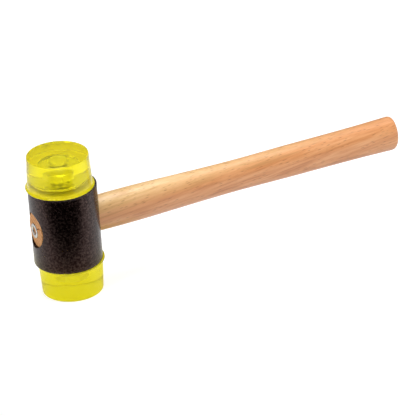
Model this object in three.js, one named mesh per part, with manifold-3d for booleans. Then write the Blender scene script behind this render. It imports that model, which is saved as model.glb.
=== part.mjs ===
// Soft-face mallet: a steel head on a beech handle, with two screw-in plastic striking faces.
// Millimetres. The head stands on its lower face at z = 0, and the handle points along +X.
import * as THREE from 'three';
import { mergeVertices } from 'three/addons/utils/BufferGeometryUtils.js';
import Module from 'manifold-3d';

const wasm = await Module();
wasm.setup();

// Head body: steel bar with a cross eye for the handle and a tapped hole in each end
const bodyDiameter = 50;
const bodyLength = 59.4;
const bodyEdgeRadius = 0.4;
const holeFloor = 1;
const holeRunout = 1.6;
const holeMouthChamfer = 0.5;
const drillPointAngle = 118;

// Striking faces: tapered mouldings with a thin coved lip where they seat on the body
const faceHeight = 24.5;
const strikingDiameter = 44.6;
const strikingEdgeRadius = 0.6;
const lipWidth = 1.45;
const lipThickness = 0.5;
const lipEdgeRadius = 0.3;
const lipCoveHeight = 2.5;
const faceOffset = 1.45;

// Bolt moulded into each face: a hexagon bolt threaded up to its head
const threadDiameter = 8;
const threadPitch = 1.25;
const threadDepth = 0.77;
const boltHeadSides = 6;
const boltHeadFlats = 13;
const boltHeadHeight = 5.3;
const boltHeadChamfer = 0.6;
const boltHeadTurn = -9;
const boltHeadStand = 7.9;

// Wide washer on each bolt, low in the face and clear of the bolt head
const washerDiameter = 30;
const washerThickness = 1.6;
const washerHeight = 3.3;

// Handle: beech of oval section, measured along X from the axis of the head
const handleOvality = 0.82;
const tenonHeight = 26.5;
const tenonRecess = 1.8;
const tenonEdgeRadius = 0.8;
const shoulderLength = 3;
const neckHeight = 27.2;
const neckLength = 30;
const waistHeight = 24.2;
const waistPosition = 128;
const gripHeight = 24.9;
const flareHeight = 25.4;
const flareLength = 38;
const buttHeight = 26.8;
const buttPosition = 271;
const buttEdgeRadius = 3.4;

// Ring wedge driven by hand into the end grain of the handle, a little off its middle
const wedgeDiameter = 11;
const wedgeWall = 2.3;
const wedgeTipWall = 0.5;
const wedgeLength = 18;
const wedgeStandOut = 0.5;
const wedgeAside = 2;
const wedgeDrop = 1.7;

// Clearances between neighbouring pieces
const seatGap = 0.3;
const eyeGap = 0.3;
const mouldGap = 0.3;
const threadGap = 0.25;
const washerGap = 0.3;
const wedgeGap = 0.3;

// Fineness of the round shapes
const bodySegments = 64;
const eyeSegments = 56;
const handleSegments = 36;
const smallSegments = 36;
const threadSegments = 16;
const handleSteps = 18;
const curveSteps = 4;
const mergeDistance = 1e-4;

// Sizes that follow from those above
const bodyRadius = bodyDiameter / 2;
const bodyEnd = bodyLength / 2;
const tenonHalfHeight = tenonHeight / 2;
const eyeHalfHeight = tenonHalfHeight + eyeGap;
const eyeHalfWidth = tenonHalfHeight * handleOvality + eyeGap;
const threadRadius = threadDiameter / 2;
const threadRootRadius = threadRadius - threadDepth;
const tappedCrestRadius = threadRadius + threadGap;
const tappedRootRadius = threadRootRadius + threadGap;
const drillPoint = tappedRootRadius / Math.tan(THREE.MathUtils.degToRad(drillPointAngle / 2));
const holeDepth = bodyEnd - eyeHalfHeight - holeFloor - drillPoint;
const studReach = holeDepth - holeRunout;
const washerBase = seatGap + washerHeight;
const washerTop = washerBase + washerThickness;
const boltHeadBase = seatGap + boltHeadStand;
const boltHeadTop = boltHeadBase + boltHeadHeight;
const boltHeadMiddle = boltHeadBase + boltHeadHeight / 2;
const boltHeadCorner = boltHeadFlats / 2 / Math.cos(Math.PI / boltHeadSides);
const washerBoreRadius = threadRadius + washerGap;
const tenonEnd = tenonRecess - bodyRadius;
const wedgeFace = tenonEnd - wedgeStandOut;
const faceRootRadius = bodyRadius - lipWidth;
const strikingRadius = strikingDiameter / 2;
const headCentre = bodyEnd + seatGap + faceHeight;

// Turns a closed geometry into a solid that can be cut and joined
function solidOf(geometry) {
  geometry.deleteAttribute('normal');
  geometry.deleteAttribute('uv');
  const merged = mergeVertices(geometry, mergeDistance);
  const corners = merged.index.array;
  const kept = [];
  for (let i = 0; i < corners.length; i += 3) {
    const [a, b, c] = corners.slice(i, i + 3);
    if (a !== b && b !== c && c !== a) kept.push(a, b, c);
  }
  const vertProperties = new Float32Array(merged.attributes.position.array);
  const triVerts = new Uint32Array(kept);
  return new wasm.Manifold(new wasm.Mesh({ numProp: 3, vertProperties, triVerts }));
}

// Turns a solid back into a geometry for a mesh
function geometryOf(solid) {
  const { vertProperties, triVerts } = solid.getMesh();
  const geometry = new THREE.BufferGeometry();
  geometry.setAttribute('position', new THREE.BufferAttribute(vertProperties, 3));
  geometry.setIndex(new THREE.BufferAttribute(triVerts, 1));
  geometry.computeVertexNormals();
  return geometry;
}

// Solid of revolution about Z, from a profile of radius and height
function turned(profile, segments) {
  const geometry = new THREE.LatheGeometry(profile, segments);
  geometry.rotateX(Math.PI / 2);
  return solidOf(geometry);
}

// Solid about X, from a profile of half height and distance along X; ovality is its width over its height
function shapedAlongX(profile, segments, ovality) {
  const geometry = new THREE.LatheGeometry(profile, segments);
  geometry.rotateZ(-Math.PI / 2);
  geometry.rotateX(Math.PI / 2);
  geometry.scale(1, ovality, 1);
  return solidOf(geometry);
}

// Plain disc or rod about Z between two heights
function disc(radius, low, high, segments) {
  const profile = new THREE.Path();
  profile.moveTo(0, low);
  profile.lineTo(radius, low);
  profile.lineTo(radius, high);
  profile.lineTo(0, high);
  return turned(profile.getPoints(), segments);
}

// Rod with a right-hand V thread: a crest helix and a root helix half a pitch above it
function threadedRod(crestRadius, rootRadius, low, high) {
  const firstTurn = Math.floor(low / threadPitch) - 1;
  const lastTurn = Math.ceil(high / threadPitch) + 1;
  const steps = (lastTurn - firstTurn) * threadSegments;
  const positions = [];
  const triangles = [];
  const crest = (step) => 2 * step;
  const root = (step) => 2 * step + 1;
  for (let step = 0; step <= steps; step += 1) {
    const turn = firstTurn + step / threadSegments;
    const angle = 2 * Math.PI * turn;
    const height = threadPitch * turn;
    const rise = threadPitch / 2;
    positions.push(crestRadius * Math.cos(angle), crestRadius * Math.sin(angle), height);
    positions.push(rootRadius * Math.cos(angle), rootRadius * Math.sin(angle), height + rise);
  }
  const addQuad = (a, b, c, d) => triangles.push(a, b, c, a, c, d);
  for (let step = 0; step < steps; step += 1) {
    addQuad(crest(step), crest(step + 1), root(step + 1), root(step));
    const above = step + threadSegments;
    if (above < steps) addQuad(root(step), root(step + 1), crest(above + 1), crest(above));
  }
  const lowLoop = [root(0)];
  const highLoop = [crest(steps)];
  for (let step = 0; step <= threadSegments; step += 1) {
    lowLoop.push(crest(step));
    highLoop.push(root(steps - threadSegments + step));
  }
  const lowCentre = positions.length / 3;
  const highCentre = lowCentre + 1;
  positions.push(0, 0, threadPitch * firstTurn, 0, 0, threadPitch * (lastTurn + 0.5));
  for (let i = 0; i < lowLoop.length; i += 1) {
    const next = (i + 1) % lowLoop.length;
    triangles.push(lowCentre, lowLoop[next], lowLoop[i]);
    triangles.push(highCentre, highLoop[i], highLoop[next]);
  }
  const geometry = new THREE.BufferGeometry();
  geometry.setAttribute('position', new THREE.Float32BufferAttribute(positions, 3));
  geometry.setIndex(triangles);
  return solidOf(geometry);
}

// Hexagonal prism about Z with one flat turned from +X by the bolt head's angle
function hexagon(corner, low, high) {
  const geometry = new THREE.CylinderGeometry(corner, corner, high - low, boltHeadSides);
  geometry.rotateX(Math.PI / 2);
  geometry.rotateZ(THREE.MathUtils.degToRad(boltHeadTurn));
  geometry.translate(0, 0, (low + high) / 2);
  return solidOf(geometry);
}

// Tapped hole for a stud, cut downwards from a body end at height 0
function tappedHole() {
  const mouthDepth = threadDepth + holeMouthChamfer;
  const thread = threadedRod(tappedCrestRadius, tappedRootRadius, -holeDepth, 0);
  const reach = disc(bodyRadius, -holeDepth, holeMouthChamfer, threadSegments);
  const drill = new THREE.Path();
  drill.moveTo(0, -holeDepth - drillPoint);
  drill.lineTo(tappedRootRadius, -holeDepth);
  drill.lineTo(tappedRootRadius, -mouthDepth);
  drill.lineTo(tappedRootRadius + mouthDepth + holeMouthChamfer, holeMouthChamfer);
  drill.lineTo(0, holeMouthChamfer);
  return thread.intersect(reach).add(turned(drill.getPoints(), threadSegments));
}

// Head body about Z, centred on the middle of its length
function headBody() {
  const profile = new THREE.Path();
  profile.moveTo(0, -bodyEnd);
  profile.lineTo(bodyRadius - bodyEdgeRadius, -bodyEnd);
  profile.quadraticCurveTo(bodyRadius, -bodyEnd, bodyRadius, -bodyEnd + bodyEdgeRadius);
  profile.lineTo(bodyRadius, bodyEnd - bodyEdgeRadius);
  profile.quadraticCurveTo(bodyRadius, bodyEnd, bodyRadius - bodyEdgeRadius, bodyEnd);
  profile.lineTo(0, bodyEnd);
  const eye = new THREE.CylinderGeometry(eyeHalfHeight, eyeHalfHeight, 2 * bodyDiameter, eyeSegments);
  eye.rotateZ(Math.PI / 2);
  eye.scale(1, eyeHalfWidth / eyeHalfHeight, 1);
  const upperHole = tappedHole().translate([-faceOffset, 0, bodyEnd]);
  return turned(profile.getPoints(curveSteps), bodySegments)
    .subtract(solidOf(eye))
    .subtract(upperHole)
    .subtract(upperHole.rotate([0, 180, 0]));
}

// Bolt of a face: head up, stud down through the body end at height 0
function faceBolt() {
  const point = new THREE.Path();
  point.moveTo(0, -studReach);
  point.lineTo(threadRootRadius, -studReach);
  point.lineTo(tappedCrestRadius, tappedCrestRadius - threadRootRadius - studReach);
  point.lineTo(tappedCrestRadius, boltHeadMiddle);
  point.lineTo(0, boltHeadMiddle);
  const stud = threadedRod(threadRadius, threadRootRadius, -studReach, boltHeadMiddle)
    .intersect(turned(point.getPoints(), threadSegments));
  const crown = new THREE.Path();
  crown.moveTo(0, boltHeadBase);
  crown.lineTo(boltHeadCorner, boltHeadBase);
  crown.lineTo(boltHeadCorner, boltHeadTop - boltHeadChamfer);
  crown.lineTo(boltHeadFlats / 2 - boltHeadChamfer, boltHeadTop);
  crown.lineTo(0, boltHeadTop);
  const hexHead = hexagon(boltHeadCorner, boltHeadBase, boltHeadTop)
    .intersect(turned(crown.getPoints(), smallSegments));
  return hexHead.add(stud);
}

// Washer round the thread, below the bolt head
function boltWasher() {
  const outer = disc(washerDiameter / 2, washerBase, washerTop, smallSegments);
  return outer.subtract(disc(washerBoreRadius, 0, faceHeight, smallSegments));
}

// Striking face, with the pocket that its bolt and washer lie in
function strikingFace() {
  const base = seatGap;
  const top = seatGap + faceHeight;
  const lipTop = base + lipThickness;
  const coveTop = lipTop + lipCoveHeight;
  const edgeStart = top - strikingEdgeRadius;
  const taper = (faceRootRadius - strikingRadius) / (top - coveTop);
  const profile = new THREE.Path();
  profile.moveTo(0, base);
  profile.lineTo(bodyRadius - lipEdgeRadius, base);
  profile.quadraticCurveTo(bodyRadius, base, bodyRadius, base + lipEdgeRadius);
  profile.lineTo(bodyRadius, lipTop);
  profile.quadraticCurveTo(faceRootRadius, lipTop, faceRootRadius, coveTop);
  profile.lineTo(strikingRadius + taper * strikingEdgeRadius, edgeStart);
  profile.quadraticCurveTo(strikingRadius, top, strikingRadius - strikingEdgeRadius, top);
  profile.lineTo(0, top);
  const pocketCorner = boltHeadCorner + mouldGap / Math.cos(Math.PI / boltHeadSides);
  const pocketRadius = washerDiameter / 2 + mouldGap;
  const headPocket = hexagon(pocketCorner, boltHeadBase - mouldGap, boltHeadTop + mouldGap);
  const washerPocket = disc(pocketRadius, washerBase - mouldGap, washerTop + mouldGap, smallSegments);
  const studPocket = disc(threadRadius + mouldGap, -seatGap, boltHeadBase, smallSegments);
  return turned(profile.getPoints(curveSteps), bodySegments)
    .subtract(headPocket)
    .subtract(washerPocket)
    .subtract(studPocket);
}

// Ring wedge about X, or the pocket for it, thinning from its face at the eye to its tip
function wedgeRing(gap, mouth) {
  const outerRadius = wedgeDiameter / 2 + gap;
  const innerRadius = wedgeDiameter / 2 - wedgeWall - gap;
  const middleRadius = (wedgeDiameter - wedgeWall) / 2;
  const tip = wedgeTipWall / 2 + gap;
  const end = wedgeFace + wedgeLength + gap;
  const profile = new THREE.Path();
  profile.moveTo(innerRadius, mouth);
  profile.lineTo(outerRadius, mouth);
  profile.lineTo(outerRadius, wedgeFace);
  profile.lineTo(middleRadius + tip, end);
  profile.lineTo(middleRadius - tip, end);
  profile.lineTo(innerRadius, wedgeFace);
  profile.lineTo(innerRadius, mouth);
  return shapedAlongX(profile.getPoints(), smallSegments, 1).translate([0, wedgeAside, -wedgeDrop]);
}

// Handle about X: tenon in the eye, neck, waist, grip and flared butt
function beechHandle() {
  const flareStart = buttPosition - flareLength;
  const shoulder = bodyRadius + shoulderLength;
  const shape = new THREE.SplineCurve([
    new THREE.Vector2(neckHeight / 2, shoulder),
    new THREE.Vector2(neckHeight / 2, shoulder + neckLength),
    new THREE.Vector2(waistHeight / 2, waistPosition),
    new THREE.Vector2(gripHeight / 2, (waistPosition + flareStart) / 2),
    new THREE.Vector2(flareHeight / 2, flareStart),
    new THREE.Vector2(buttHeight / 2, buttPosition - buttEdgeRadius),
  ]);
  const sawnEdge = new THREE.QuadraticBezierCurve(
    new THREE.Vector2(tenonHalfHeight - tenonEdgeRadius, tenonEnd),
    new THREE.Vector2(tenonHalfHeight, tenonEnd),
    new THREE.Vector2(tenonHalfHeight, tenonEnd + tenonEdgeRadius),
  );
  const buttHalfHeight = buttHeight / 2;
  const buttEdge = new THREE.QuadraticBezierCurve(
    new THREE.Vector2(buttHalfHeight, buttPosition - buttEdgeRadius),
    new THREE.Vector2(buttHalfHeight, buttPosition),
    new THREE.Vector2(buttHalfHeight - buttEdgeRadius, buttPosition),
  );
  const profile = [
    new THREE.Vector2(0, tenonEnd),
    ...sawnEdge.getPoints(curveSteps),
    new THREE.Vector2(tenonHalfHeight, bodyRadius),
    ...shape.getPoints(handleSteps),
    ...buttEdge.getPoints(curveSteps).slice(1),
    new THREE.Vector2(0, buttPosition),
  ];
  return shapedAlongX(profile, handleSegments, handleOvality)
    .subtract(wedgeRing(wedgeGap, -bodyRadius));
}

// Finishes: colour, roughness and metalness of each material
const blackPowderCoat = { color: '#241c1a', roughness: 0.45, metalness: 0.1 };
const lacqueredBeech = { color: '#dca66f', roughness: 0.5, metalness: 0 };
const galvanisedSteel = { color: '#a9a39a', roughness: 0.4, metalness: 1 };
const zincPlatedSteel = { color: '#b9b6ab', roughness: 0.35, metalness: 1 };
const yellowPlastic = { color: '#e8dc2c', roughness: 0.15, metalness: 0 };

// Adds one named piece to a group
function addPiece(group, name, solid, finish) {
  const mesh = new THREE.Mesh(geometryOf(solid), new THREE.MeshStandardMaterial(finish));
  mesh.name = name;
  group.add(mesh);
}

const mallet = new THREE.Group();
const head = new THREE.Group();
head.position.z = headCentre;
mallet.add(head);
addPiece(head, 'head_body', headBody(), blackPowderCoat);
addPiece(head, 'handle', beechHandle(), lacqueredBeech);
addPiece(head, 'ring_wedge', wedgeRing(0, wedgeFace), galvanisedSteel);

// The lower end is the upper end turned half a turn about Y
for (const [end, turn] of [['upper', 0], ['lower', Math.PI]]) {
  const side = new THREE.Group();
  side.rotation.y = turn;
  head.add(side);
  const seat = new THREE.Group();
  seat.position.set(-faceOffset, 0, bodyEnd);
  side.add(seat);
  addPiece(seat, `${end}_face`, strikingFace(), yellowPlastic);
  addPiece(seat, `${end}_face_bolt`, faceBolt(), zincPlatedSteel);
  addPiece(seat, `${end}_bolt_washer`, boltWasher(), zincPlatedSteel);
}

export default mallet;
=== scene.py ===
import math

import bmesh
import bpy
from mathutils import Matrix, Vector


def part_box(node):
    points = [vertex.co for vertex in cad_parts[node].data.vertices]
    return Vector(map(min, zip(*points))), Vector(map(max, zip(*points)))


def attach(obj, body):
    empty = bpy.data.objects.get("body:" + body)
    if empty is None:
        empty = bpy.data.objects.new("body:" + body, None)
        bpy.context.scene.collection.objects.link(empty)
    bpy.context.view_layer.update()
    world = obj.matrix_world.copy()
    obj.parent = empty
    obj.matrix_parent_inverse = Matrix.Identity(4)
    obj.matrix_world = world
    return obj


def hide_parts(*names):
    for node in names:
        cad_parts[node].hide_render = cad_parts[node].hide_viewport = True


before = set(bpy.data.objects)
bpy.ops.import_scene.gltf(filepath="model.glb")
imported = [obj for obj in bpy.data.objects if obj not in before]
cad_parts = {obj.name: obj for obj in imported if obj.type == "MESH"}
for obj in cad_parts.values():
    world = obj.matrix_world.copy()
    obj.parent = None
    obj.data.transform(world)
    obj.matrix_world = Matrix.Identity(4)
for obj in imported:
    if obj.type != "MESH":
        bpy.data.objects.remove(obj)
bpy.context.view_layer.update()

# Head body
# A length of solid steel bar, turned to length, cross-drilled for the handle and tapped at both ends.
# It is powder coated satin black after machining, and the baked coat softens every edge.
mm = 0.001
body_low, body_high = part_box("head_body")
head_centre = (body_low + body_high) / 2
body_radius = (body_high.y - body_low.y) / 2
body_half = (body_high.z - body_low.z) / 2
body_edge = 0.4 * mm
eye_width = 11.17 * mm
eye_height = 13.55 * mm
eye_edge = 0.5 * mm
face_offset = 1.45 * mm
hole_radius = 4.25 * mm
hole_depth = 13.06 * mm
hole_point = 2.1 * mm
hole_mouth = 5.2 * mm
end_ring_share = 0.6
patch_half = 17.5 * mm
patch_steps = 16
arc_steps = 24
band_steps = 4
edge_steps = 5
patch_rings = 4


def bridge(mesh, low, high):
    """Joins two rows of vertices that go round with faces. A row of one vertex closes an end."""
    count = max(len(low), len(high))
    for i in range(count):
        j = (i + 1) % count
        corners = (low[i % len(low)], low[j % len(low)], high[j % len(high)], high[i % len(high)])
        mesh.faces.new(dict.fromkeys(corners))


def bend(start, corner, end, steps):
    """Points on the rounding of a corner, from start to end, without start itself."""
    points = []
    for step in range(1, steps + 1):
        t = step / steps
        points.append((1 - t) ** 2 * start + 2 * t * (1 - t) * corner + t ** 2 * end)
    return points


def new_piece(mesh, name, sharp_angle=40):
    """Turns a bmesh into an object that shades smooth except at edges over the given angle."""
    bmesh.ops.recalc_face_normals(mesh, faces=mesh.faces)
    data = bpy.data.meshes.new(name)
    mesh.to_mesh(data)
    mesh.free()
    data.shade_smooth()
    data.set_sharp_from_angle(angle=math.radians(sharp_angle))
    piece = bpy.data.objects.new(name, data)
    bpy.context.scene.collection.objects.link(piece)
    return piece


# The wall is a grid with a square left open round each mouth of the eye, and rings fill each square.
patch_angle = patch_half / body_radius
wall_end = body_half - body_edge
angles = []
for side in (0, math.pi):
    angles += [side + patch_angle * (2 * i / patch_steps - 1) for i in range(patch_steps)]
    gap = math.pi - 2 * patch_angle
    angles += [side + patch_angle + gap * i / arc_steps for i in range(arc_steps)]
levels = [-wall_end + (wall_end - patch_half) * i / band_steps for i in range(band_steps)]
levels += [patch_half * (2 * i / patch_steps - 1) for i in range(patch_steps)]
levels += [patch_half + (wall_end - patch_half) * i / band_steps for i in range(band_steps + 1)]
patch_row = band_steps
around = len(angles)
half_around = around // 2

body_mesh = bmesh.new()
wall = {}
for column, angle in enumerate(angles):
    for row, level in enumerate(levels):
        across = column % half_around
        in_patch = 0 < across < patch_steps and patch_row < row < patch_row + patch_steps
        if not in_patch:
            x, y = body_radius * math.cos(angle), body_radius * math.sin(angle)
            wall[column, row] = body_mesh.verts.new((x, y, level))
for column in range(around):
    for row in range(len(levels) - 1):
        across = column % half_around
        if across >= patch_steps or not patch_row <= row < patch_row + patch_steps:
            beside = (column + 1) % around
            corners = ((column, row), (beside, row), (beside, row + 1), (column, row + 1))
            body_mesh.faces.new([wall[c] for c in corners])


def wall_point(side, across, level):
    """Point of the body's wall at a distance across the eye and a height, on one side."""
    out = math.sqrt(body_radius ** 2 - across ** 2)
    return Vector((math.cos(side) * out, math.cos(side) * across, level))


bore_rows = []
for side, first in ((0, 0), (math.pi, half_around)):
    low, high, last = patch_row, patch_row + patch_steps, first + patch_steps
    rim = [(first + i, low) for i in range(patch_steps)]
    rim += [(last, low + i) for i in range(patch_steps)]
    rim += [(last - i, high) for i in range(patch_steps)]
    rim += [(first, high - i) for i in range(patch_steps)]
    rows = [[wall[c % around, r] for c, r in rim]]
    spots = [(body_radius * (angles[c % around] - side), levels[r]) for c, r in rim]
    spots = [(math.remainder(s, 2 * math.pi * body_radius), z) for s, z in spots]
    turns = [math.atan2(z / eye_height, s / eye_width) for s, z in spots]
    wide, tall = eye_width + eye_edge, eye_height + eye_edge
    for step in range(1, patch_rings + 1):
        t = step / patch_rings
        row = []
        for (s, z), turn in zip(spots, turns):
            s_eye = body_radius * math.asin(wide * math.cos(turn) / body_radius)
            across = body_radius * math.sin(((1 - t) * s + t * s_eye) / body_radius)
            level = (1 - t) * z + t * tall * math.sin(turn)
            row.append(body_mesh.verts.new(wall_point(side, across, level)))
        rows.append(row)
    lips = []
    for turn in turns:
        start = wall_point(side, wide * math.cos(turn), tall * math.sin(turn))
        corner = wall_point(side, eye_width * math.cos(turn), eye_height * math.sin(turn))
        inward = Vector((math.cos(side) * eye_edge, 0, 0))
        lips.append(bend(start, corner, corner - inward, edge_steps))
    for step in range(edge_steps):
        rows.append([body_mesh.verts.new(lip[step]) for lip in lips])
    for outer, inner in zip(rows, rows[1:]):
        bridge(body_mesh, outer, inner)
    bore_rows.append(rows[-1])
facing = [bore_rows[1][(patch_steps - i) % len(bore_rows[1])] for i in range(len(bore_rows[1]))]
bridge(body_mesh, bore_rows[0], facing)

# Each end is rounded over, and its tapped hole lies off the axis of the bar.
for end in (1, -1):
    row = [wall[c, len(levels) - 1 if end > 0 else 0] for c in range(around)]
    start = Vector((body_radius, end * wall_end))
    corner = Vector((body_radius, end * body_half))
    stop = Vector((body_radius - body_edge, end * body_half))
    outline = [(p.x, p.y, 0.0) for p in bend(start, corner, stop, edge_steps)]
    outline += [
        (end_ring_share * body_radius, end * body_half, (1 - end_ring_share) * face_offset),
        (hole_mouth, end * body_half, face_offset),
        (hole_radius, end * (body_half - hole_mouth + hole_radius), face_offset),
        (hole_radius, end * (body_half - hole_depth), face_offset),
    ]
    for radius, level, offset in outline:
        shift = Vector((-end * offset, 0, level))
        points = [Vector((radius * math.cos(a), radius * math.sin(a), 0)) + shift for a in angles]
        following = [body_mesh.verts.new(p) for p in points]
        bridge(body_mesh, row, following)
        row = following
    tip = body_mesh.verts.new((-end * face_offset, 0, end * (body_half - hole_depth - hole_point)))
    bridge(body_mesh, row, [tip])
bmesh.ops.translate(body_mesh, verts=body_mesh.verts, vec=head_centre)
body = new_piece(body_mesh, "steel_body")
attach(body, "mallet")
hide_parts("head_body")


def linear(hex_colour):
    """Linear colour of an sRGB hex value."""
    values = [int(hex_colour[i:i + 2], 16) / 255 for i in (1, 3, 5)]
    return [v / 12.92 if v <= 0.04045 else ((v + 0.055) / 1.055) ** 2.4 for v in values] + [1.0]


def set_inputs(tree, node, inputs):
    """Links each input that is given a node or a socket, and sets any other value."""
    for name, value in inputs.items():
        named = [s for s in node.inputs if s.enabled and s.name == name]
        socket = named[0] if named else node.inputs[name]
        if isinstance(value, bpy.types.Node):
            value = next(s for s in value.outputs if s.enabled)
        if isinstance(value, bpy.types.NodeSocket):
            tree.links.new(value, socket)
        else:
            socket.default_value = value


def add_node(tree, kind, inputs, stops=(), **settings):
    """Adds a node with its settings, its inputs and the stops of its colour ramp."""
    node = tree.nodes.new(kind)
    for name, value in settings.items():
        setattr(node, name, value)
    for i, (position, colour) in enumerate(stops):
        ramp = node.color_ramp.elements
        stop = ramp[i] if i < len(ramp) else ramp.new(position)
        stop.position = position
        stop.color = linear(colour)
    set_inputs(tree, node, inputs)
    return node


def new_material(name):
    """An empty node material, its tree, its shader and its object coordinates."""
    material = bpy.data.materials.new(name)
    material.use_nodes = True
    tree = material.node_tree
    shader = tree.nodes["Principled BSDF"]
    place = add_node(tree, "ShaderNodeTexCoord", {}).outputs["Object"]
    return material, tree, shader, place


# Satin powder coat: a baked brown-black film with a fine stipple, whose grains gleam more or less.
# Handling rubs the rims to a greyer, smoother film. Real grains of about 0.4 mm are too fine to show,
# so the stipple is drawn at 1.5 mm.
coat, tree, shader, place = new_material("satin_black_powder_coat")
stipple_size = 1.5 * mm
stipple_depth = 0.07 * mm
stipple_share = 0.7
patch_size = 22 * mm
rim_width = 1.6 * mm
rubbed_film = "#5A524F"
stipple = add_node(tree, "ShaderNodeTexNoise", {
    "Vector": place, "Scale": 1 / stipple_size, "Detail": 3.0, "Roughness": 0.6})
patches = add_node(tree, "ShaderNodeTexNoise", {
    "Vector": place, "Scale": 1 / patch_size, "Detail": 4.0, "Roughness": 0.65})
speckle = add_node(tree, "ShaderNodeMix", {
    "Factor": stipple_share, "A": patches, "B": stipple}, data_type="FLOAT")
film = add_node(tree, "ShaderNodeValToRGB", {"Fac": speckle}, stops=[
    (0.42, "#010000"), (0.54, "#030101"), (0.66, "#150B09")])
split = add_node(tree, "ShaderNodeSeparateXYZ", {"Vector": place})
from_middle = add_node(tree, "ShaderNodeMath", {0: split.outputs["Z"], 1: head_centre.z},
    operation="SUBTRACT")
height = add_node(tree, "ShaderNodeMath", {0: from_middle}, operation="ABSOLUTE")
near_rim = add_node(tree, "ShaderNodeMapRange", {
    "Value": height, "From Min": body_half - rim_width, "From Max": body_half})
rubbed = add_node(tree, "ShaderNodeMath", {0: near_rim, 1: patches}, operation="MULTIPLY")
colour = add_node(tree, "ShaderNodeMix", {
    "Factor": rubbed, "A": film, "B": linear(rubbed_film)}, data_type="RGBA")
sheen = add_node(tree, "ShaderNodeMapRange", {
    "Value": stipple, "From Min": 0.35, "From Max": 0.65,
    "To Min": 0.2, "To Max": 0.3})
relief = add_node(tree, "ShaderNodeBump", {
    "Height": stipple, "Strength": 1.0, "Distance": stipple_depth})
gleam = add_node(tree, "ShaderNodeValToRGB", {"Fac": stipple}, stops=[
    (0.4, "#8A544C"), (0.62, "#FFD0C4")])
set_inputs(tree, shader, {
    "Base Color": colour,
    "Roughness": sheen,
    "Normal": relief,
    "Specular IOR Level": 0.57,
    "Specular Tint": gleam})
body.data.materials.append(coat)

# Handle
# One piece of beech shaped to an oval, sanded and lacquered, and driven through the eye of the head.
# Its end is sawn off square inside the curve of the body, and the ring wedge has split it a little.
at_head = Matrix.Translation(head_centre)
handle_low, handle_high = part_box("handle")
wedge_low, wedge_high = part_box("ring_wedge")
ovality = 0.82
tenon_height = 13.5 * mm
tenon_edge = 0.8 * mm
tenon_end = head_centre.x - handle_low.x
wedge_outer = (wedge_high.y - wedge_low.y) / 2
wedge_wall = 2.3 * mm
wedge_inner = wedge_outer - wedge_wall
wedge_spot = (wedge_low + wedge_high) / 2 - head_centre
wedge_spot.x = 0
wedge_middle = (wedge_outer + wedge_inner) / 2
wedge_tip = 0.3 * mm
slot_gap = 0.1 * mm
slot_end = wedge_high.x - handle_low.x + slot_gap
core_depth = 0.7 * mm
core_radii = (0.8 * mm, 1.6 * mm, 2.4 * mm)
butt = handle_high.x
butt_height = 13.4 * mm
butt_edge = 3.4 * mm
butt_ring_shares = (0.75, 0.5, 0.25)
handle_around = 96
sawn_steps = 8
tenon_edge_steps = 4
grip_steps = 12
butt_steps = 8
# The first half of the butt's rounding still shows long grain.
long_grain_steps = 4
# The grip's half height at distances from the head. Then each split's direction, its depth and its
# length from the middle of the wedge, and half the width of both. Degrees and millimetres.
stations = [(28, 13.6), (58, 13.6), (128, 12.1), (180.5, 12.45), (233, 12.7)]
splits = ((148, 3.4, 12.5), (-79, 2.0, 11.5))
split_spread = 5.5


def skin(mesh, rings, place, loop=False):
    """Adds a surface over rings of points, put in place by a matrix, and returns its rows."""
    rows = [[mesh.verts.new(place @ point) for point in ring] for ring in rings]
    for low, high in zip(rows, rows[1:] + rows[:1] if loop else rows[1:]):
        bridge(mesh, low, high)
    return rows


def oval(width, height, x, count):
    """Points of an upright oval about X, from its half width and half height."""
    turns = [2 * math.pi * i / count for i in range(count)]
    return [Vector((x, width * math.cos(t), height * math.sin(t))) for t in turns]


def end_ring(middle, width, height, sunk=0.0):
    """Ring on the sawn end about a point of it. Sunk goes into the wood, as do the splits."""
    ring = []
    for point in oval(width, height, sunk - tenon_end, handle_around):
        point += middle
        out = point - wedge_spot
        reach = math.hypot(out.y, out.z)
        for turn, depth, length in splits:
            aside = abs(math.remainder(math.degrees(math.atan2(out.z, out.y)) - turn, 360))
            near = max(0, 1 - aside / split_spread) * max(0, 1 - reach / (length * mm))
            point.x += near * depth * mm if reach > wedge_outer else 0
        ring.append(point)
    return ring


def smooth(points, steps):
    """Points on a smooth curve through the given ones."""
    ends = [points[0]] + points + [points[-1]]
    curve = []
    for a, b, c, d in zip(ends, ends[1:], ends[2:], ends[3:]):
        for step in range(steps):
            t = step / steps
            tilt = (c - a) * t + (2 * a - 5 * b + 4 * c - d) * t ** 2 + (3 * b - a - 3 * c + d) * t ** 3
            curve.append(b + tilt / 2)
    return curve + [points[-1]]


rings = [[wedge_spot + Vector((core_depth - tenon_end, 0, 0))]]
rings += [end_ring(wedge_spot, radius, radius, core_depth) for radius in core_radii]
slot_edge = wedge_outer + slot_gap
for radius, sunk in (
        (wedge_inner - slot_gap, core_depth), (wedge_middle - wedge_tip - slot_gap, slot_end),
        (wedge_middle + wedge_tip + slot_gap, slot_end), (slot_edge, 0)):
    rings += [end_ring(wedge_spot, radius, radius, sunk)]
flat_height = tenon_height - tenon_edge
for step in range(1, sawn_steps + 1):
    t = step / sawn_steps
    width = slot_edge + (ovality * flat_height - slot_edge) * t
    rings += [end_ring(wedge_spot * (1 - t), width, slot_edge + (flat_height - slot_edge) * t)]
edge = (Vector((flat_height, 0)), Vector((tenon_height, 0)), Vector((tenon_height, tenon_edge)))
edge_points = bend(*edge, tenon_edge_steps)
rings += [oval(ovality * p.x, p.x, p.y - tenon_end, handle_around) for p in edge_points]
end_rows = len(rings)
shape = [Vector((height, x)) * mm for x, height in stations]
shape += [Vector((butt_height, butt - butt_edge))]
profile = [Vector((tenon_height, 0)), Vector((tenon_height, body_radius))]
profile += smooth(shape, grip_steps)
side_rows = end_rows + len(profile)
butt_flat = Vector((butt_height - butt_edge, butt))
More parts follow.
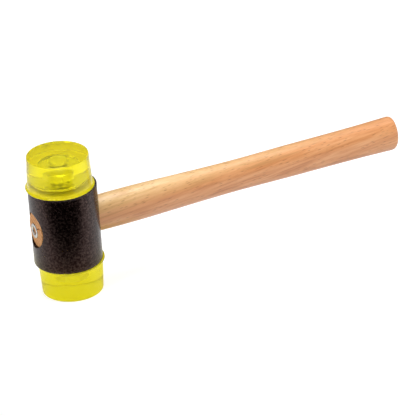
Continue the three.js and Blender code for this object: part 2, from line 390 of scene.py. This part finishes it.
profile += bend(profile[-1], Vector((butt_height, butt)), butt_flat, butt_steps)
profile += [Vector((share * butt_flat.x, butt)) for share in butt_ring_shares]
rings += [oval(ovality * p.x, p.x, p.y, handle_around) for p in profile]
rings += [[Vector((butt, 0, 0))]]
handle_mesh = bmesh.new()
handle_rows = skin(handle_mesh, rings, at_head)
end_points = set()
for row in handle_rows[:end_rows] + handle_rows[side_rows + long_grain_steps:]:
    end_points.update(row)
for face in handle_mesh.faces:
    face.material_index = int(all(corner in end_points for corner in face.verts))
handle = new_piece(handle_mesh, "beech_handle")
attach(handle, "mallet")
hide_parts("handle")

# Lacquered beech: pale sapwood along the top of the head end, turning to redder wood below and towards
# the butt, with streaks along the grain, short dark ray flecks and a thin satin lacquer over all. Along
# the top the pale tone is partly a painted highlight, and below the redder, darker tone is partly
# painted shade.
# The grain runs out of the wood at a slant. End grain is darker and shows its rings.
# Fibres, flecks and pores are drawn wider than real ones, which are too fine to show.
grain_slant = (0, math.radians(-6), 0)
streak_size = Vector((50, 3.2, 3.2)) * mm
fibre_size = Vector((24, 0.8, 0.8)) * mm
fibre_depth = 0.08 * mm
fibre_share = 0.3
fleck_size = Vector((6, 0.95, 0.95)) * mm
fleck_colour = "#9A5C2E"
pore_size = 0.8 * mm
pore_share = 0.55
ring_width = 3.4 * mm
pith = head_centre + Vector((0, 19, -31)) * mm
# Redder wood takes over along the handle and downwards, by these shares for each millimetre. The
# downward share also paints a highlight along the top and shade below.
heart_and_shade_growth = Vector((0.0055, 0, -0.11)) / mm
heart_wander = 1.5
heart_start = 0.15
for name, is_end in (("lacquered_beech", False), ("beech_end_grain", True)):
    wood, tree, shader, place = new_material(name)
    streak_map = add_node(tree, "ShaderNodeMapping", {
        "Vector": place, "Rotation": grain_slant, "Scale": streak_size}, vector_type="TEXTURE")
    streak = add_node(tree, "ShaderNodeTexNoise", {
        "Vector": streak_map, "Scale": 1.0, "Detail": 3.0, "Roughness": 0.55, "Distortion": 0.8})
    fibre_map = add_node(tree, "ShaderNodeMapping", {
        "Vector": place, "Rotation": grain_slant, "Scale": fibre_size}, vector_type="TEXTURE")
    fibre = add_node(tree, "ShaderNodeTexNoise", {
        "Vector": fibre_map, "Scale": 1.0, "Detail": 4.0, "Roughness": 0.6})
    if is_end:
        from_pith = add_node(tree, "ShaderNodeVectorMath", {0: place, 1: pith}, operation="SUBTRACT")
        across = add_node(tree, "ShaderNodeVectorMath", {0: from_pith, 1: (0, 1, 1)},
            operation="MULTIPLY")
        reach = add_node(tree, "ShaderNodeVectorMath", {0: across}, operation="LENGTH")
        rings_out = add_node(tree, "ShaderNodeMath", {
            0: reach, 1: 1 / ring_width, 2: streak}, operation="MULTIPLY_ADD")
        growth = add_node(tree, "ShaderNodeMath", {0: rings_out}, operation="FRACT")
        pores = add_node(tree, "ShaderNodeTexNoise", {
            "Vector": place, "Scale": 1 / pore_size, "Detail": 3.0, "Roughness": 0.7})
        figure = add_node(tree, "ShaderNodeMix", {
            "Factor": pore_share, "A": growth, "B": pores}, data_type="FLOAT")
        grain = add_node(tree, "ShaderNodeValToRGB", {"Fac": figure}, stops=[
            (0.2, "#EAB27A"), (0.5, "#DA9C64"), (0.8, "#A26C3C")])
    else:
        fleck_map = add_node(tree, "ShaderNodeMapping", {
            "Vector": place, "Rotation": grain_slant, "Scale": fleck_size}, vector_type="TEXTURE")
        fleck = add_node(tree, "ShaderNodeTexVoronoi", {"Vector": fleck_map, "Scale": 1.0})
        inside = add_node(tree, "ShaderNodeMapRange", {
            "Value": fleck.outputs["Distance"], "From Min": 0.12, "From Max": 0.36,
            "To Min": 0.65, "To Max": 0.0})
        chosen = add_node(tree, "ShaderNodeMapRange", {
            "Value": fleck.outputs["Color"], "From Min": 0.45, "From Max": 0.65})
        spot = add_node(tree, "ShaderNodeMath", {0: inside, 1: chosen}, operation="MULTIPLY")
        figure = add_node(tree, "ShaderNodeMix", {
            "Factor": fibre_share, "A": streak, "B": fibre}, data_type="FLOAT")
        sapwood = add_node(tree, "ShaderNodeValToRGB", {"Fac": figure}, stops=[
            (0.34, "#DAA86E"), (0.49, "#EABF86"), (0.64, "#F4D09B")])
        heartwood = add_node(tree, "ShaderNodeValToRGB", {"Fac": figure}, stops=[
            (0.34, "#C27B48"), (0.49, "#DB955F"), (0.64, "#E8AA77")])
        from_head = add_node(tree, "ShaderNodeVectorMath", {0: place, 1: head_centre},
            operation="SUBTRACT")
        depth = add_node(tree, "ShaderNodeVectorMath", {
            0: from_head, 1: heart_and_shade_growth}, operation="DOT_PRODUCT")
        wander = add_node(tree, "ShaderNodeMath", {0: streak, 1: heart_wander, 2: heart_start},
            operation="MULTIPLY_ADD")
        # The mix of sapwood into redder wood is partly painted: a highlight on top and shade below.
        heart_and_shade = add_node(tree, "ShaderNodeMath", {0: depth.outputs["Value"], 1: wander},
            operation="ADD", use_clamp=True)
        tone = add_node(tree, "ShaderNodeMix", {
            "Factor": heart_and_shade, "A": sapwood, "B": heartwood}, data_type="RGBA")
        grain = add_node(tree, "ShaderNodeMix", {
            "Factor": spot, "A": tone, "B": linear(fleck_colour)}, data_type="RGBA")
    sheen = add_node(tree, "ShaderNodeMapRange", {
        "Value": fibre, "From Min": 0.3, "From Max": 0.7,
        "To Min": 0.7 if is_end else 0.36, "To Max": 0.85 if is_end else 0.5})
    relief = add_node(tree, "ShaderNodeBump", {
        "Height": fibre, "Strength": 0.25, "Distance": fibre_depth})
    set_inputs(tree, shader, {
        "Base Color": grain,
        "Roughness": sheen,
        "Normal": relief,
        "Coat Weight": 0.0 if is_end else 0.5,
        "Coat Roughness": 0.3})
    handle.data.materials.append(wood)

# Ring wedge
# A tapered steel ring, hot-dip galvanised, hammered into the end grain to spread the tenon.
# Its face is battered by the hammer and stands a little out of the wood, off its middle.
wedge_face = wedge_low.x
wedge_length = wedge_high.x - wedge_low.x
wedge_round = 0.35 * mm
wedge_corner = 0.25 * wedge_round
wedge_around = 64
outline = [
    (wedge_inner + wedge_round, 0), (wedge_outer - wedge_round, 0),
    (wedge_outer - wedge_corner, wedge_corner), (wedge_outer, wedge_round),
    (wedge_middle + wedge_tip, wedge_length), (wedge_middle - wedge_tip, wedge_length),
    (wedge_inner, wedge_round), (wedge_inner + wedge_corner, wedge_corner),
]
wedge_mesh = bmesh.new()
face_spot = wedge_face - head_centre.x
rings = [oval(radius, radius, face_spot + depth, wedge_around) for radius, depth in outline]
skin(wedge_mesh, rings, at_head @ Matrix.Translation(wedge_spot), loop=True)
wedge = new_piece(wedge_mesh, "galvanised_ring_wedge", 60)
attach(wedge, "mallet")
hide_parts("ring_wedge")

# Galvanised steel: a dull grey zinc skin with soft mottling and small dents from the hammer.
zinc, tree, shader, place = new_material("hot_dip_galvanised_steel")
mottle_size = 2.2 * mm
dent_size = 1.4 * mm
dent_depth = 0.15 * mm
mottle = add_node(tree, "ShaderNodeTexNoise", {
    "Vector": place, "Scale": 1 / mottle_size, "Detail": 4.0, "Roughness": 0.65})
dents = add_node(tree, "ShaderNodeTexVoronoi", {"Vector": place, "Scale": 1 / dent_size})
tone = add_node(tree, "ShaderNodeValToRGB", {"Fac": mottle}, stops=[
    (0.3, "#B9B9B6"), (0.55, "#D3D3D0"), (0.75, "#E4E4E2")])
sheen = add_node(tree, "ShaderNodeMapRange", {
    "Value": mottle, "From Min": 0.3, "From Max": 0.7,
    "To Min": 0.55, "To Max": 0.35})
relief = add_node(tree, "ShaderNodeBump", {
    "Height": dents, "Strength": 0.4, "Distance": dent_depth})
set_inputs(tree, shader, {
    "Base Color": tone,
    "Roughness": sheen,
    "Normal": relief,
    "Metallic": 1.0})
wedge.data.materials.append(zinc)

# Face bolts and washers
# Each striking face is moulded round a zinc-plated hexagon bolt with a wide washer low on its thread.
# The stud that stands out of the moulding screws into the end of the body.
thread_radius = 4 * mm
thread_pitch = 1.25 * mm
thread_depth = 0.77 * mm
# Half the flat at the root of the thread, and its flank, as shares of the pitch.
thread_root = 0.1
thread_flank = 0.33
thread_around = 48
thread_levels = 8
bolt_flat = 6.5 * mm
bolt_head_height = 5.3 * mm
bolt_turn = math.radians(-9)
bolt_chamfer_radius = 6.2 * mm
bolt_chamfer_slope = math.tan(math.radians(30))
washer_gap = 0.3 * mm
washer_edge = 0.2 * mm
washer_around = 72
on_end = Matrix.Translation((-face_offset, 0, body_half))
seats = {"upper": at_head @ on_end, "lower": at_head @ Matrix.Rotation(math.pi, 4, "Y") @ on_end}
bolt_low, bolt_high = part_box("upper_face_bolt")
washer_low, washer_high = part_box("upper_bolt_washer")
body_top = head_centre.z + body_half
stud_reach = body_top - bolt_low.z
head_top = bolt_high.z - body_top
washer_base = washer_low.z - body_top
washer_top = washer_high.z - body_top
head_base = head_top - bolt_head_height
washer_radius = (washer_high.y - washer_low.y) / 2


def circle(radius, level, count):
    """Points of a level circle about Z."""
    turns = [2 * math.pi * i / count for i in range(count)]
    return [Vector((radius * math.cos(t), radius * math.sin(t), level)) for t in turns]


def thread_ring(level):
    """Ring of the stud at one height: a right-hand thread with flat crests, pointed at its tip."""
    ring = []
    for i in range(thread_around):
        turn = i / thread_around
        from_root = abs((level / thread_pitch - turn) % 1.0 - 0.5)
        flank = min(1.0, max(0.0, (from_root - thread_root) / thread_flank))
        radius = thread_radius - thread_depth * (1 - flank)
        radius = min(radius, thread_radius - thread_depth + level + stud_reach)
        angle = 2 * math.pi * turn
        ring.append(Vector((radius * math.cos(angle), radius * math.sin(angle), level)))
    return ring


def hexagon_ring(top):
    """Ring of the bolt head: its foot, or the upper edge of its flats where the chamfer meets them."""
    ring = []
    for i in range(thread_around):
        angle = 2 * math.pi * i / thread_around
        beside = (angle + math.pi / 6) % (math.pi / 3) - math.pi / 6
        radius = bolt_flat / math.cos(beside)
        level = head_top - (radius - bolt_chamfer_radius) * bolt_chamfer_slope if top else head_base
        angle += bolt_turn
        ring.append(Vector((radius * math.cos(angle), radius * math.sin(angle), level)))
    return ring


# Zinc plating: a bright grey film with faint fingermarks. It is duller on the forged bolt than on the
# washer, which is punched from smooth strip and mirrors the thread above it. Real grit is too fine to
# show, so it is drawn at 0.5 mm.
smudge_size = 5 * mm
grit_size = 0.5 * mm
grit_depth = 0.01 * mm
platings = {}
for name, dull, bright in (("zinc_plated_bolt", 0.37, 0.3), ("zinc_plated_washer", 0.2, 0.12)):
    plating, tree, shader, place = new_material(name)
    smudge = add_node(tree, "ShaderNodeTexNoise", {
        "Vector": place, "Scale": 1 / smudge_size, "Detail": 4.0, "Roughness": 0.6})
    tone = add_node(tree, "ShaderNodeValToRGB", {"Fac": smudge}, stops=[
        (0.3, "#E6E4DE"), (0.6, "#F0EFEB"), (0.8, "#F6F5F2")])
    sheen = add_node(tree, "ShaderNodeMapRange", {
        "Value": smudge, "From Min": 0.3, "From Max": 0.7,
        "To Min": dull, "To Max": bright})
    grit = add_node(tree, "ShaderNodeTexNoise", {
        "Vector": place, "Scale": 1 / grit_size, "Detail": 2.0})
    relief = add_node(tree, "ShaderNodeBump", {
        "Height": grit, "Strength": 0.1, "Distance": grit_depth})
    set_inputs(tree, shader, {
        "Base Color": tone,
        "Roughness": sheen,
        "Normal": relief,
        "Metallic": 1.0})
    platings[name] = plating

shank = stud_reach + head_base
climb_steps = math.ceil(shank / thread_pitch * thread_levels)
bolt_rings = [[Vector((0, 0, -stud_reach))]]
bolt_rings += [thread_ring(-stud_reach + shank * i / climb_steps) for i in range(climb_steps + 1)]
bolt_rings += [hexagon_ring(False), hexagon_ring(True)]
bolt_rings += [circle(bolt_chamfer_radius, head_top, thread_around), [Vector((0, 0, head_top))]]
washer_bore = thread_radius + washer_gap
washer_outline = [
    (washer_bore, washer_base), (washer_radius - washer_edge, washer_base),
    (washer_radius, washer_base + washer_edge), (washer_radius, washer_top - washer_edge),
    (washer_radius - washer_edge, washer_top), (washer_bore, washer_top),
]
washer_rings = [circle(radius, level, washer_around) for radius, level in washer_outline]
for end, seat in seats.items():
    bolt_mesh = bmesh.new()
    skin(bolt_mesh, bolt_rings, seat)
    bolt = new_piece(bolt_mesh, f"{end}_hexagon_bolt", 25)
    bolt.data.materials.append(platings["zinc_plated_bolt"])
    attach(bolt, f"{end}_screw")
    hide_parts(f"{end}_face_bolt")
    washer_mesh = bmesh.new()
    skin(washer_mesh, washer_rings, seat, loop=True)
    washer = new_piece(washer_mesh, f"{end}_wide_washer", 30)
    washer.data.materials.append(platings["zinc_plated_washer"])
    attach(washer, f"{end}_rise")
    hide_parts(f"{end}_bolt_washer")

# Striking faces
# Clear yellow plastic moulded round the bolt and washer, tapered so that it leaves the mould.
# A thin lip runs out in a cove at the root, and the striking edge is almost sharp.
face_low, face_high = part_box("upper_face")
face_base = face_low.z - body_top
face_top = face_high.z - body_top
lip_radius = (face_high.y - face_low.y) / 2
lip_edge = 0.3 * mm
lip_thickness = 0.5 * mm
lip_width = 1.45 * mm
cove_height = 2.5 * mm
root_radius = lip_radius - lip_width
strike_radius = 22.3 * mm
strike_edge = 0.6 * mm
face_around = 128
lip_steps = 4
cove_steps = 8
side_steps = 6
strike_steps = 6
base_shares = (0.3, 0.6, 0.85)
top_shares = (0.97, 0.85, 0.6, 0.3)

# Clear yellow plastic: a tinted moulding, its polish a little dulled, that shows the bolt inside it.
# Its underside is left matt by the mould, so seen through the clear side it glows a full yellow.
# Scuffs are drawn at 1.2 mm, since real ones are too fine to show.
cloud_size = 9 * mm
cloud_depth = 0.1 * mm
scuff_size = 1.2 * mm
shine_tint = "#FFF9AA"
depth_tint = "#FDFB14"
depth_density = 64.0
finishes = []
for name, is_matt in (("clear_yellow_plastic", False), ("matt_moulded_underside", True)):
    plastic, tree, shader, place = new_material(name)
    cloud = add_node(tree, "ShaderNodeTexNoise", {
        "Vector": place, "Scale": 1 / cloud_size, "Detail": 3.0, "Roughness": 0.55})
    scuff = add_node(tree, "ShaderNodeTexNoise", {
        "Vector": place, "Scale": 1 / scuff_size, "Detail": 4.0, "Roughness": 0.7})
    sheen = add_node(tree, "ShaderNodeMapRange", {
        "Value": scuff, "From Min": 0.35, "From Max": 0.75,
        "To Min": 0.5 if is_matt else 0.1, "To Max": 0.7 if is_matt else 0.16})
    tints = ("#EDE424", "#F2EA2C") if is_matt else ("#F8F03A", "#FAF446")
    tone = add_node(tree, "ShaderNodeValToRGB", {"Fac": cloud}, stops=[
        (0.35, tints[0]), (0.65, tints[1])])
    relief = add_node(tree, "ShaderNodeBump", {
        "Height": cloud, "Strength": 0.1, "Distance": cloud_depth})
    set_inputs(tree, shader, {
        "Base Color": tone,
        "Roughness": sheen,
        "Normal": relief,
        "IOR": 1.5,
        "Specular Tint": linear(shine_tint),
        "Transmission Weight": 0.0 if is_matt else 0.82})
    finishes.append(plastic)
    if not is_matt:
        filling = add_node(tree, "ShaderNodeVolumeAbsorption", {
            "Color": linear(depth_tint), "Density": depth_density})
        set_inputs(tree, tree.nodes["Material Output"], {"Volume": filling})

foot = Vector((lip_radius - lip_edge, face_base))
heel = Vector((lip_radius, face_base + lip_edge))
profile = [foot] + bend(foot, Vector((lip_radius, face_base)), heel, lip_steps)
lip = Vector((lip_radius, face_base + lip_thickness))
root = Vector((root_radius, lip.y + cove_height))
profile += [lip] + bend(lip, Vector((root_radius, lip.y)), root, cove_steps)
taper = (root_radius - strike_radius) / (face_top - root.y)
edge_start = Vector((strike_radius + taper * strike_edge, face_top - strike_edge))
profile += [root.lerp(edge_start, i / side_steps) for i in range(1, side_steps + 1)]
rim_end = Vector((strike_radius - strike_edge, face_top))
profile += bend(edge_start, Vector((strike_radius, face_top)), rim_end, strike_steps)
face_rings = [[Vector((0, 0, face_base))]]
face_rings += [circle(share * foot.x, face_base, face_around) for share in base_shares]
underside_rows = len(face_rings) + 1
face_rings += [circle(p.x, p.y, face_around) for p in profile]
face_rings += [circle(share * rim_end.x, face_top, face_around) for share in top_shares]
face_rings += [[Vector((0, 0, face_top))]]
for end, seat in seats.items():
    face_mesh = bmesh.new()
    rows = skin(face_mesh, face_rings, seat)
    underside = set().union(*rows[:underside_rows])
    for facet in face_mesh.faces:
        facet.material_index = int(underside.issuperset(facet.verts))
    face = new_piece(face_mesh, f"{end}_striking_face", 60)
    for finish in finishes:
        face.data.materials.append(finish)
    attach(face, f"{end}_screw")
    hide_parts(f"{end}_face")

# Floor and light
# White paper under three soft boxes in a dim grey room. A black card lies on it before the head for the
# black coat to mirror; the camera and the clear plastic see plain white there.
floor_size = 3.0
floor_level = -0.05 * mm
floor_corners = ((-1, -1), (1, -1), (1, 1), (-1, 1))
floor_mesh = bmesh.new()
floor_mesh.faces.new([
    floor_mesh.verts.new((x * floor_size, y * floor_size, floor_level)) for x, y in floor_corners])
floor = new_piece(floor_mesh, "white_floor")
paper, tree, shader, place = new_material("white_paper")
rays = add_node(tree, "ShaderNodeLightPath", {})

# The card's two directions, each with its middle, its half size and the softness of its edge in
# millimetres. Outside it lies the paper.
card_turn = math.radians(-21)
card_ahead = (math.sin(card_turn), -math.cos(card_turn), 0)
card_spans = ((card_ahead, 208, 120, 20), ((1, 0, 0), -65, 170, 30))
card_black, paper_white = "#101010", "#BEBEBE"
reaches, outside = [], []
for direction, middle, half, softness in card_spans:
    along = add_node(tree, "ShaderNodeVectorMath", {0: place, 1: direction}, operation="DOT_PRODUCT")
    reaches.append(along.outputs["Value"])
    offset = add_node(tree, "ShaderNodeMath", {0: reaches[-1], 1: middle * mm}, operation="SUBTRACT")
    outward = add_node(tree, "ShaderNodeMath", {0: offset}, operation="ABSOLUTE")
    outside.append(add_node(tree, "ShaderNodeMapRange", {
        "Value": outward, "From Min": (half - softness) * mm, "From Max": (half + softness) * mm}))
ahead = reaches[0]
on_paper = add_node(tree, "ShaderNodeMath", {0: outside[0], 1: outside[1]}, operation="MAXIMUM")
ground = add_node(tree, "ShaderNodeMix", {
    "Factor": on_paper, "A": linear(card_black), "B": linear(paper_white)}, data_type="RGBA")

# The camera and the plastic see white paper. Near the mallet some of that white is left to the lamps,
# so that the paper keeps a shadow. Behind the head, the paper seen through the lower face has a painted
# shadow.
shade_end = 150 * mm
shadow_near, shadow_far = 0.35, 0.9
shadow_share = 0.3
split = add_node(tree, "ShaderNodeSeparateXYZ", {"Vector": place})
past_head = add_node(tree, "ShaderNodeMapRange", {
    "Value": split.outputs["Y"], "From Min": 0.0, "From Max": shade_end})
# Painted shadow of the head on the paper, seen only through the plastic.
shade = add_node(tree, "ShaderNodeValToRGB", {"Fac": past_head}, stops=[
    (0.0, "#FFFFFF"), (0.17, "#D2D2D2"), (0.5, "#D2D2D2"), (0.9, "#FFFFFF")])
through = add_node(tree, "ShaderNodeMath", {
    0: rays.outputs["Is Transmission Ray"], 1: shade}, operation="MULTIPLY")
shown = add_node(tree, "ShaderNodeMath", {
    0: rays.outputs["Is Camera Ray"], 1: through}, operation="MAXIMUM")
away = add_node(tree, "ShaderNodeVectorMath", {0: place}, operation="LENGTH")
lamp_share = add_node(tree, "ShaderNodeMapRange", {
    "Value": away.outputs["Value"], "From Min": shadow_near, "From Max": shadow_far,
    "To Min": shadow_share, "To Max": 0.0})
left_to_lamps = add_node(tree, "ShaderNodeMath", {0: on_paper, 1: lamp_share}, operation="MULTIPLY")
level = add_node(tree, "ShaderNodeMath", {0: 1.0, 1: left_to_lamps}, operation="SUBTRACT")
direct = add_node(tree, "ShaderNodeMath", {0: shown, 1: level}, operation="MULTIPLY")

# In mirrors the paper has painted shade behind the head, and painted yellow light near the lower face.
# A rough clear surface sends out rays that count as both kinds, and they are no mirror rays.
dim_start = -120 * mm
dim_level, mirror_level = 0.3, 0.8
yellow_light_near, yellow_light_far = 45 * mm, 85 * mm
painted_yellow_light = "#E6DA30"
mirror_ray = add_node(tree, "ShaderNodeMath", {
    0: rays.outputs["Is Glossy Ray"], 1: rays.outputs["Is Transmission Ray"]}, operation="SUBTRACT",
    use_clamp=True)
# Painted shade on the paper behind the head, seen only in mirrors.
dimmed = add_node(tree, "ShaderNodeMapRange", {
    "Value": ahead, "From Min": dim_start, "From Max": 0.0,
    "To Min": dim_level, "To Max": mirror_level})
white = add_node(tree, "ShaderNodeMath", {0: on_paper, 1: dimmed}, operation="MULTIPLY")
mirrored = add_node(tree, "ShaderNodeMath", {0: mirror_ray, 1: white}, operation="MULTIPLY")
nearness = add_node(tree, "ShaderNodeMapRange", {
    "Value": away.outputs["Value"], "From Min": yellow_light_near, "From Max": yellow_light_far,
    "To Min": 1.0, "To Max": 0.0})
# Painted yellow light on the paper near the lower face, seen only in mirrors.
yellow_lit = add_node(tree, "ShaderNodeMath", {0: mirror_ray, 1: nearness}, operation="MULTIPLY")
hue = add_node(tree, "ShaderNodeMix", {
    "Factor": yellow_lit, "A": linear("#FFFFFF"), "B": linear(painted_yellow_light)}, data_type="RGBA")

# The paper also glows for diffuse rays, a painted bounce light that it throws up at the mallet.
bounce_level = 0.25
upward = add_node(tree, "ShaderNodeMath", {0: on_paper, 1: bounce_level}, operation="MULTIPLY")
bounced = add_node(tree, "ShaderNodeMath", {
    0: rays.outputs["Is Diffuse Ray"], 1: upward}, operation="MULTIPLY")
indirect = add_node(tree, "ShaderNodeMath", {0: mirrored, 1: bounced}, operation="MAXIMUM")
glow = add_node(tree, "ShaderNodeMath", {0: indirect, 1: direct}, operation="MAXIMUM")
set_inputs(tree, shader, {
    "Emission Strength": glow,
    "Emission Color": hue,
    "Base Color": ground,
    "Roughness": 0.9,
    "Specular IOR Level": 0.1})
floor.data.materials.append(paper)

# The room shows white to the camera and the plastic, and lights the mallet with a dim grey.
room_level = 0.15
world = bpy.data.worlds.new("grey_room")
bpy.context.scene.world = world
world.use_nodes = True
tree = world.node_tree
rays = add_node(tree, "ShaderNodeLightPath", {})
shown = add_node(tree, "ShaderNodeMath", {
    0: rays.outputs["Is Camera Ray"], 1: rays.outputs["Is Transmission Ray"]}, operation="MAXIMUM")
glow = add_node(tree, "ShaderNodeMath", {0: shown, 1: 1 - room_level, 2: room_level},
    operation="MULTIPLY_ADD")
set_inputs(tree, tree.nodes["Background"], {"Color": linear("#FFFFFF"), "Strength": glow})

# Each soft box has its place, its width and length in metres, and its power in watts. The two at the
# sides don't show in mirrors, or a flat striking face would hold one as a white patch.
soft_boxes = (
    ("overhead_box", (0.1, 0.1, 1.5), 1.0, 1.0, 19.0),
    ("left_box", (-1.3, -0.4, 0.75), 0.5, 1.2, 10.0),
    ("right_box", (1.2, -0.9, 0.8), 0.6, 1.2, 12.0),
)
for name, location, width, length, power in soft_boxes:
    lamp = bpy.data.lights.new(name, "AREA")
    lamp.shape = "RECTANGLE"
    lamp.size = width
    lamp.size_y = length
    lamp.energy = power
    box = bpy.data.objects.new(name, lamp)
    box.location = location
    box.rotation_euler = (head_centre - Vector(location)).to_track_quat("-Z", "Y").to_euler()
    box.visible_glossy = name == "overhead_box"
    bpy.context.scene.collection.objects.link(box)

# Camera
# A long lens on a tripod, about 1.9 m from the head and looking down at it from the left.
picture_width = 416
focal_pixels = 2598.2
sensor_width = 36.0
camera_turn = math.radians(-20.96)
camera_height = math.radians(27.37)
camera_distance = 1.87485
camera_roll = math.radians(3.659)
aim = head_centre + Vector((113.5, 0, -20.7)) * mm
lens = bpy.data.cameras.new("long_lens")
lens.sensor_width = sensor_width
lens.lens = focal_pixels / picture_width * sensor_width
camera = bpy.data.objects.new("tripod_camera", lens)
level_reach = camera_distance * math.cos(camera_height)
camera.location = head_centre + Vector((
    level_reach * math.sin(camera_turn),
    -level_reach * math.cos(camera_turn),
    camera_distance * math.sin(camera_height)))
gaze = (aim - camera.location).to_track_quat("-Z", "Y")
camera.rotation_euler = (gaze.to_matrix() @ Matrix.Rotation(-camera_roll, 3, "Z")).to_euler()
bpy.context.scene.collection.objects.link(camera)
bpy.context.scene.camera = camera
bpy.context.scene.view_settings.view_transform = "Standard"
